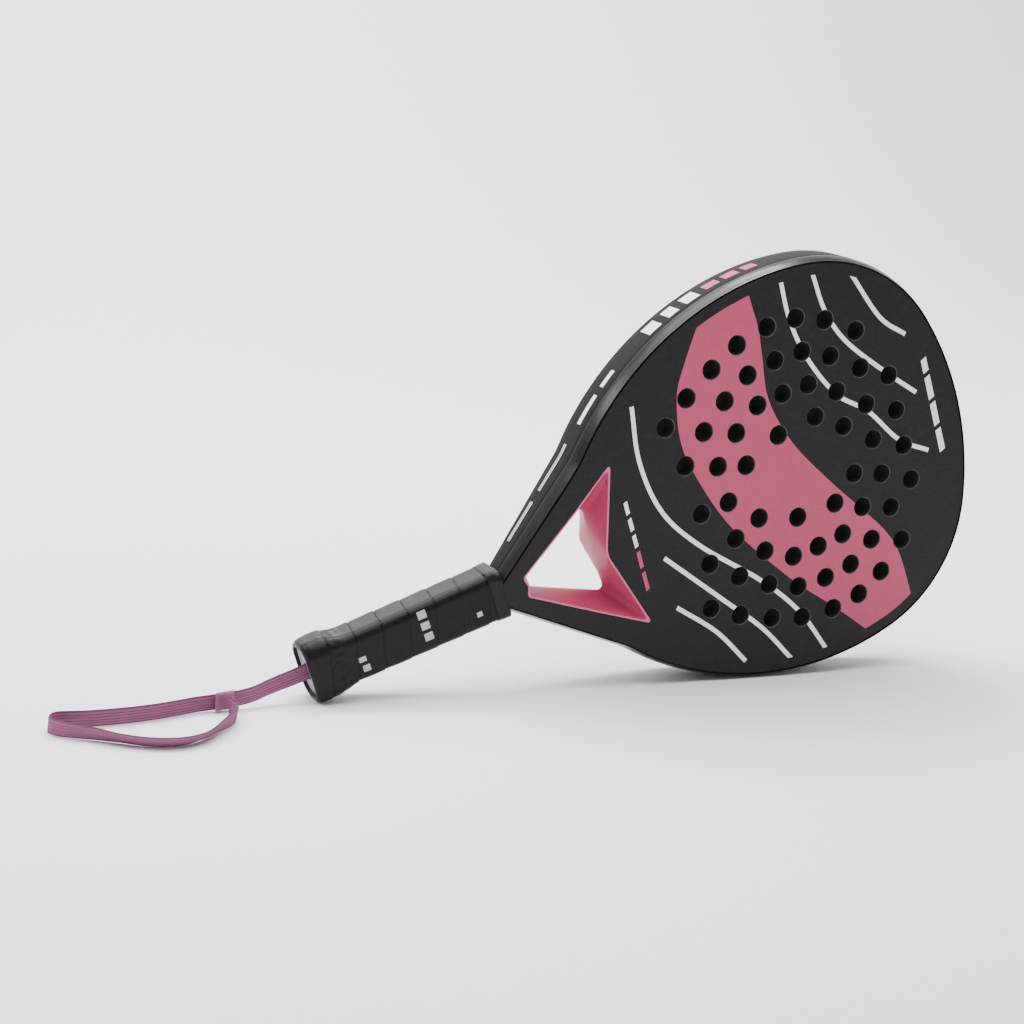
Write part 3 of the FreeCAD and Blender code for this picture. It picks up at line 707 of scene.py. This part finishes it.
def add_band_marks():
    """Plain bars where the rim carries its lettering."""
    white = [band_mark(start, start + 11, -5.8, 6.2) for start in (262, 276, 290)]
    white += [band_mark(start, start + run, -0.4, 3.6) for start, run in ((225, 12), (205, 16))]
    for row in (-3.4, -1.6):
        white.append(band_mark(171, 196, row, row + 0.7))
        white.append(band_mark(143, 166, row, row + 0.7))
    pink = [band_mark(start, start + 11, -4.2, 4.2) for start in (306, 320, 334)]
    groups = [("rim_marks_white", WHITE_PRINT, white), ("rim_marks_pink", PINK_PRINT, pink)]
    for name, made, patches in groups:
        points = []
        faces = []
        for patch in patches:
            base = len(points)
            rows, columns = patch.shape[:2]
            points += patch.reshape(-1, 3).tolist()
            quads = grid_faces(rows, columns, flip=True)
            faces += [tuple(q + base for q in quad) for quad in quads]
        piece = add_piece(name, points, faces, [made])


# ---------------------------------------------------------------- handle

GRIP_SIDES = 128
SEAM_PITCH = 17.3
SEAM_FROM = 0.955
SEAM_DEPTH = 0.3
TAPE_BASE = 0.12
TAPE_STEP = 0.5
TAPE_LIMIT = 0.6
TAPE_SHRINK = 0.62

# the quarters of a rounded rectangle: signs of v and w, and the angle its corner starts at
QUARTERS = [(1, -1, -90), (1, 1, 0), (-1, 1, 90), (-1, -1, 180)]

# along the handle: u, width, depth, corner radius of the grip's outer form
GRIP_STATIONS = [
    (0.0, 33.6, 23.8, 9.0),
    (0.7, 36.2, 26.3, 9.8),
    (2.0, 38.0, 28.1, 10.2),
    (4.5, 38.9, 28.9, 10.2),
    (9.0, 39.0, 29.0, 10.0),
    (12.5, 38.8, 28.9, 9.6),
    (16.0, 37.6, 28.5, 8.6),
    (20.0, 35.0, 27.8, 7.4),
    (24.0, 32.4, 27.2, 6.6),
    (28.0, 31.0, 27.0, 6.2),
    (121.0, 31.0, 27.0, 6.0),
]


def grip_form(u, shrink=0.0):
    """A rounded rectangle across the handle at u, as (v, w) and normal, evenly spread by length."""
    stations = np.array(GRIP_STATIONS)
    width, depth, corner = (np.interp(u, stations[:, 0], stations[:, k]) for k in (1, 2, 3))
    half_v = width / 2 - shrink
    half_w = depth / 2 - shrink
    corner = max(corner - shrink, 0.5)
    line = []
    for sign_v, sign_w, start in QUARTERS:
        for degree in np.linspace(start, start + 90, 13):
            a = math.radians(degree)
            v = sign_v * (half_v - corner) + corner * math.cos(a)
            w = sign_w * (half_w - corner) + corner * math.sin(a)
            line.append((v, w, math.cos(a), math.sin(a)))
    line = np.array(line + [line[0]])
    length = np.concatenate([[0], np.cumsum(np.hypot(*np.diff(line[:, :2], axis=0).T))])
    at = np.linspace(0, length[-1], GRIP_SIDES, endpoint=False)
    return np.stack([np.interp(at, length, line[:, k]) for k in range(4)], axis=1)


def grip_points(u, lift=0.0):
    """One ring of the wound grip: each turn of tape rises towards its edge, then a groove."""
    ring = []
    flare = np.interp(u, [8, 14, 22, 30], [0, 1, 1, 0])
    for v, w, nv, nw in grip_form(u, TAPE_SHRINK):
        around = math.atan2(w, v) / (2 * math.pi)
        phase = ((u + SEAM_PITCH * around) / SEAM_PITCH) % 1.0
        rise = -SEAM_DEPTH if phase > SEAM_FROM else TAPE_BASE + TAPE_STEP * phase**0.6
        soft = noise.noise(Vector((u * 0.12, v * 0.09, w * 0.09))) * 0.12
        pucker = flare * 0.35 * noise.noise(Vector((u * 0.25, around * 40, 3.0)))
        out = max(-SEAM_DEPTH, min(TAPE_LIMIT, rise + soft + pucker)) + lift
        ring.append((u, v + nv * out, w + nw * out))
    return ring


def add_overgrip():
    """The wound outer tape, from inside the butt's mouth to under the collar."""
    stations = np.concatenate([np.linspace(0, 4.5, 16), np.arange(4.9, GRIP_END, 0.3), [GRIP_END]])
    rings = [[(3.4, v, w) for v, w, _, _ in grip_form(0.0, 1.4)]]
    rings += [[(0.35, v, w) for v, w, _, _ in grip_form(0.0, 1.0)]]
    rings += [grip_points(u) for u in stations]
    rings.append([(GRIP_END, v, w) for v, w, _, _ in grip_form(GRIP_END, 1.2)])
    points = np.array(rings)
    faces = grid_faces(len(rings), GRIP_SIDES, wrap_columns=True)
    grip = add_piece("grip_tape", points.reshape(-1, 3), faces, [GRIP_TAPE], sharp=55)
    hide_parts("overgrip")


# along the collar: u, and its lift above the grip
COLLAR_STATIONS = [
    (119.6, 0.15),
    (119.75, 0.35),
    (122.6, 0.4),
    (122.75, 0.62),
    (126.5, 0.68),
    (127.6, 0.6),
    (127.8, -0.4),
]
COLLAR_FORM_AT = 100


def add_collar():
    """The finishing tape over the end of the grip, in two layers, up to the neck."""
    rings = [[(119.6, v, w) for v, w, _, _ in grip_form(COLLAR_FORM_AT, 0.5)]]
    for u, lift in COLLAR_STATIONS:
        grow = np.interp(u, [120, NECK], [0, 0.75])
        ring = []
        for v, w, nv, nw in grip_form(COLLAR_FORM_AT):
            ring.append((u, v + nv * lift * 0.6, w * (1 + grow / 13.5) + nw * lift * 0.6))
        rings.append(ring)
    points = np.array(rings)
    faces = grid_faces(len(rings), GRIP_SIDES, wrap_columns=True)
    collar = add_piece("collar_tape", points.reshape(-1, 3), faces, [COLLAR_TAPE], sharp=40)
    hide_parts("grip_collar")


# each bar on the tape: from u to u, and from point to point round the grip's ring
GRIP_MARKS = [
    (71.5, 77.0, 37, 44),
    (71.8, 77.3, 46, 53),
    (72.1, 77.6, 55, 62),
    (30.0, 34.5, 52, 57),
    (31.0, 35.5, 59, 65),
    (107.0, 110.5, 56, 61),
]
GRIP_MARK_RINGS = 7
GRIP_MARK_LIFT = 0.12


def add_grip_marks():
    """Plain pale bars where the wound tape carries its lettering."""
    points = []
    faces = []
    for start, end, first, last in GRIP_MARKS:
        base = len(points)
        for u in np.linspace(start, end, GRIP_MARK_RINGS):
            points += grip_points(u, GRIP_MARK_LIFT)[first:last]
        quads = grid_faces(GRIP_MARK_RINGS, last - first)
        faces += [tuple(q + base for q in quad) for quad in quads]
    marks = add_piece("grip_marks", points, faces, [GRIP_PRINT])


# the butt cap's inner wall and the end plate: u, half width, half depth, corner radius
CAP_STATIONS = [
    (1.0, 17.6, 12.7, 9.0),
    (0.4, 15.9, 11.0, 8.0),
    (1.0, 15.6, 10.7, 7.7),
    (4.0, 15.4, 10.5, 7.5),
    (4.0, 6.5, 2.0, 1.2),
    (9.0, 6.5, 2.0, 1.2),
    (21.0, 13.5, 11.5, 7.0),
    (21.0, 17.6, 12.9, 9.0),
]
PLATE_STATIONS = [
    (3.9, 6.0, 1.5, 1.0),
    (2.3, 6.0, 1.5, 1.0),
    (2.0, 6.35, 1.85, 1.3),
    (2.0, 14.7, 9.8, 7.0),
    (2.25, 15.25, 10.35, 7.4),
    (3.9, 15.3, 10.4, 7.45),
]
BUTT_CORNER_STEPS = 10


def rounded_loop(half_v, half_w, corner):
    line = []
    for sign_v, sign_w, start in QUARTERS:
        for degree in np.linspace(start, start + 90, BUTT_CORNER_STEPS):
            a = math.radians(degree)
            v = sign_v * (half_v - corner) + corner * math.cos(a)
            line.append((v, sign_w * (half_w - corner) + corner * math.sin(a)))
    return line


def closed_stack(stations, flip=False):
    """Points and faces of rounded loops joined one after another, the last to the first."""
    rings = [[(u, v, w) for v, w in rounded_loop(hv, hw, c)] for u, hv, hw, c in stations]
    points = np.array(rings)
    faces = grid_faces(len(rings), points.shape[1], wrap_rows=True, wrap_columns=True, flip=flip)
    return points.reshape(-1, 3), faces


def add_butt():
    """The recessed end: the cap's inner wall, and the plate with its cord slot."""
    cap = add_piece("butt_cap_wall", *closed_stack(CAP_STATIONS), [CAP_RUBBER])
    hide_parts("butt_cap")
    disc = add_piece("end_plate", *closed_stack(PLATE_STATIONS, flip=True), [PLATE_GREY])
    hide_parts("butt_plate")


# ---------------------------------------------------------------- wrist cord

RIBBON_WIDTH = 10.0
RIBBON_HALF = 0.75
RIBBON_RIBS = 6
RIBBON_VALLEY = 0.62
CLEAR_OF_FLOOR = 0.05

# how far the ribbon leans over, in degrees, at fractions of its length
RIBBON_LEAN_AT = [0, 0.1, 0.2, 0.42, 0.5, 0.56, 0.66, 0.82, 0.9, 1.0]
RIBBON_LEAN = [0, 5, 8, 4, 2, 12, 42, 46, 18, 0]

# control points of the cord's line in the row frame, in millimetres, x from the butt's own
exit_point = to_world([(2.0, 0.0, 0.0)])[0] * 1000
CORD_ROUTE = [
    (exit_point[0] - BUTT_X, 0, exit_point[2]),
    (exit_point[0] - BUTT_X - 8.4, 0, exit_point[2] - 3.1),
    (-21, -2, 11.0),
    (-33, -6.5, 8.0),
    (-45, -7.8, 6.4),
    (-58, -8, 5.5),
    (-68, -8.5, 5.2),
    (-81, -13, 5.2),
    (-96, -17, 5.2),
    (-114, -19.5, 5.2),
    (-130, -20, 5.2),
    (-143, -19, 5.2),
    (-151, -17.5, 5.2),
    (-157, -22.5, 5.2),
    (-155.5, -31, 5.2),
    (-147, -38, 5.1),
    (-136, -44.5, 4.8),
    (-125, -53, 4.2),
    (-113, -61.5, 3.9),
    (-100, -66, 3.8),
    (-87, -64.5, 3.8),
    (-75, -57, 4.1),
    (-64, -46, 5.0),
    (-55, -37.5, 5.2),
    (-49.5, -28, 5.2),
    (-48.5, -19, 5.2),
    (-49.5, -14, 5.2),
]


def cord_line():
    """The route's own smooth line, read from a NURBS spline with the route as control points."""
    curve = bpy.data.curves.new("cord_route", "CURVE")
    curve.dimensions = "3D"
    curve.resolution_u = 14
    spline = curve.splines.new("NURBS")
    spline.points.add(len(CORD_ROUTE) - 1)
    for point, (x, y, z) in zip(spline.points, CORD_ROUTE):
        point.co = ((x + BUTT_X) / 1000, y / 1000, z / 1000, 1)
    spline.order_u = 3
    spline.use_endpoint_u = True
    holder = bpy.data.objects.new("cord_route", curve)
    bpy.context.scene.collection.objects.link(holder)
    bpy.context.view_layer.update()
    mesh = bpy.data.meshes.new_from_object(holder)
    line = np.array([v.co for v in mesh.vertices]) * 1000
    bpy.data.objects.remove(holder)
    bpy.data.curves.remove(curve)
    bpy.data.meshes.remove(mesh)
    apart = np.linalg.norm(np.diff(line, axis=0), axis=1) > 0.05
    return line[np.concatenate([[True], apart])]


def ribbon_section(count=40):
    """Half across, half through: a flat woven section with ribs along it and rounded edges."""
    t = np.linspace(-1, 1, count)
    rib = np.abs(np.cos(t * math.pi * RIBBON_RIBS / 2)) ** 0.7
    thick = RIBBON_HALF * (0.5 + 0.5 * rib) * np.sqrt(np.clip(1 - t**8, 0.02, 1))
    across = t * RIBBON_WIDTH / 2
    return np.vstack([np.stack([across, thick], 1), np.stack([across[::-1], -thick[::-1]], 1)])


def add_cord():
    """The flat wrist ribbon, standing on its edge along the cord's line."""
    line = cord_line()
    tangent = np.gradient(line, axis=0)
    tangent /= np.linalg.norm(tangent, axis=1)[:, None]
    travelled = np.concatenate([[0], np.cumsum(np.linalg.norm(np.diff(line, axis=0), axis=1))])
    total = travelled[-1]
    lean = np.interp(travelled / total, RIBBON_LEAN_AT, RIBBON_LEAN)
    section = ribbon_section()
    points = []
    towards = np.array([0, -1.0, 0])
    for place, run, degrees in zip(line, tangent, lean):
        side = np.cross(run, (0, 0, 1.0))
        side /= np.linalg.norm(side)
        up = np.cross(side, run)
        a = math.radians(degrees)
        sign = 1 if side @ towards > 0 else -1
        width_way = up * math.cos(a) + sign * side * math.sin(a)
        thin_way = np.cross(run, width_way)
        for across, through in section:
            p = place + width_way * across + thin_way * through
            points.append((p[0], p[1], max(p[2], CLEAR_OF_FLOOR)))
    count = len(section)
    faces = grid_faces(len(line), count, wrap_columns=True)
    valley = (np.abs(section[:, 1]) < RIBBON_VALLEY * RIBBON_HALF).astype(int).tolist()
    slots = valley * (len(line) - 1) + [0, 0]
    faces += [tuple(range(count))[::-1], tuple((len(line) - 1) * count + j for j in range(count))]
    finishes = [CORD_CLOTH, CORD_SHADE]
    ribbon = add_piece("wrist_ribbon", points, faces, finishes, slots, 60, world=True)
    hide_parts("cord_lead", "cord_loop")
    wrap = add_wrap()


WRAP_CENTRE = (-51.0, -9.6, 6.6)
WRAP_RUN = (-0.96, -0.22, 0.0)
WRAP_HALF_LENGTH = 6.2
WRAP_HALF_SIDE = 2.3
WRAP_HALF_UP = 5.2
WRAP_RIB = 0.2
WRAP_ROWS = 34
WRAP_SIDES = 40


def add_wrap():
    """The loop's closing wrap: a ribbon wound round both limbs, ribs and all."""
    centre = np.array(WRAP_CENTRE) + (BUTT_X, 0, 0)
    run = np.array(WRAP_RUN)
    run /= np.linalg.norm(run)
    side = np.array([-run[1], run[0], 0.0])
    rings = []
    for t in np.linspace(-1, 1, WRAP_ROWS):
        rib = abs(math.cos(t * math.pi * 3)) ** 0.7
        swell = 1 - 0.5 * max(0.0, abs(t) - 0.82) / 0.18
        half_side = (WRAP_HALF_SIDE + WRAP_RIB * rib) * swell
        half_up = (WRAP_HALF_UP + WRAP_RIB * rib) * (0.94 + 0.06 * swell)
        ring = []
        for k in range(WRAP_SIDES):
            a = k * 2 * math.pi / WRAP_SIDES
            c, s = math.cos(a), math.sin(a)
            round_off = (abs(c) ** 3 + abs(s) ** 3) ** (-1 / 3)
            p = centre + run * (t * WRAP_HALF_LENGTH + 1.1 * c) + side * c * round_off * half_side
            p = p + np.array([0, 0, 1.0]) * s * round_off * half_up
            ring.append((p[0], p[1], max(p[2], CLEAR_OF_FLOOR)))
        rings.append(ring)
    points = np.array(rings)
    faces = grid_faces(WRAP_ROWS, WRAP_SIDES, wrap_columns=True)
    faces.append(tuple(range(WRAP_SIDES))[::-1])
    faces.append(tuple((WRAP_ROWS - 1) * WRAP_SIDES + j for j in range(WRAP_SIDES)))
    wrap = add_piece("loop_wrap", points.reshape(-1, 3), faces, [CORD_CLOTH], sharp=60, world=True)
    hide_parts("cord_wrap")
    return wrap


# ---------------------------------------------------------------- CAD pieces that stay


def dress_cad_nodes():
    """Materials for the CAD pieces that are covered, or seen only through a gap."""
    finishes = {
        "frame_foam": FOAM_WHITE,
        "throat_bridge": RIM_GLOSS,
        "head_core": CORE_FOAM,
        "handle_shaft": HIDDEN,
        "handle_core": FOAM_WHITE,
        "pallet_front": HIDDEN,
        "pallet_rear": HIDDEN,
        "cushion_grip": CAP_RUBBER,
        "cord_knot": CORD_CLOTH,
        "cord_pin": PIN_STEEL,
    }
    for node, made in finishes.items():
        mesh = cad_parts[node].data
        mesh.materials.clear()
        mesh.materials.append(made)


# ---------------------------------------------------------------- light and background


def add_area_light(name, place, target, width, height, power):
    data = bpy.data.lights.new(name, "AREA")
    data.shape = "RECTANGLE"
    data.size = width
    data.size_y = height
    data.energy = power
    light = bpy.data.objects.new(name, data)
    bpy.context.scene.collection.objects.link(light)
    light.location = place
    light.rotation_euler = (Vector(target) - Vector(place)).to_track_quat("-Z", "Y").to_euler()


FLOOR_FRONT = -3.0
FLOOR_BEND_AT = 0.9
FLOOR_BEND = 0.8
BACKDROP_TOP = 3.0
WORLD_STRENGTH = 0.5

# each light: name, place, target, width, height (metres) and power (watts)
LIGHTS = [
    ("top_softbox", (-0.2, 0.2, 1.9), (0, 0.3, 0), 2.4, 1.6, 75),
    ("backdrop_light", (0.3, 0.6, 1.6), (0.5, 1.7, 0.5), 2.0, 0.5, 36),
    ("rim_strip", (-1.0, 0.35, 0.95), (0, 0, 0.15), 0.8, 0.25, 8),
    ("rim_glint", (0.22, 0.55, 1.13), (0.06, 0, 0.26), 0.3, 0.12, 5),
]


def add_floor():
    """A pale sheet: flat under the racket, and curving up into the backdrop."""
    profile = [(FLOOR_FRONT, 0.0), (FLOOR_BEND_AT, 0.0)]
    for degree in range(6, 91, 6):
        a = math.radians(degree)
        y = FLOOR_BEND_AT + FLOOR_BEND * math.sin(a)
        profile.append((y, FLOOR_BEND - FLOOR_BEND * math.cos(a)))
    profile.append((FLOOR_BEND_AT + FLOOR_BEND, BACKDROP_TOP))
    points = [(x, y, z) for x in (-4.0, 4.0) for y, z in profile]
    count = len(profile)
    faces = [(i, i + 1, count + i + 1, count + i) for i in range(count - 1)]
    mesh = bpy.data.meshes.new("floor")
    mesh.from_pydata(points, [], [quad[::-1] for quad in faces])
    paper = surface("pale_paper", (0.9, 0.9, 0.9), 0.7, grain=1.5, depth=0.01, vary=0.01)
    mesh.materials.append(paper)
    mesh.shade_smooth()
    sheet = bpy.data.objects.new("floor", mesh)
    bpy.context.scene.collection.objects.link(sheet)


def add_studio():
    world = bpy.data.worlds.new("studio")
    bpy.context.scene.world = world
    world.use_nodes = True
    background = world.node_tree.nodes["Background"]
    background.inputs["Color"].default_value = (1, 1, 1, 1)
    background.inputs["Strength"].default_value = WORLD_STRENGTH
    add_floor()
    for light in LIGHTS:
        add_area_light(*light)


add_cord()
add_face("printed_face_front", 1, "face_front", face_regions(0.0))
add_face("printed_face_rear", -1, "face_rear", face_regions(REAR_STEP))
add_hole_walls()
add_rim()
add_band_marks()
add_throat_liner()
add_overgrip()
add_grip_marks()
add_collar()
add_butt()
dress_cad_nodes()
add_studio()
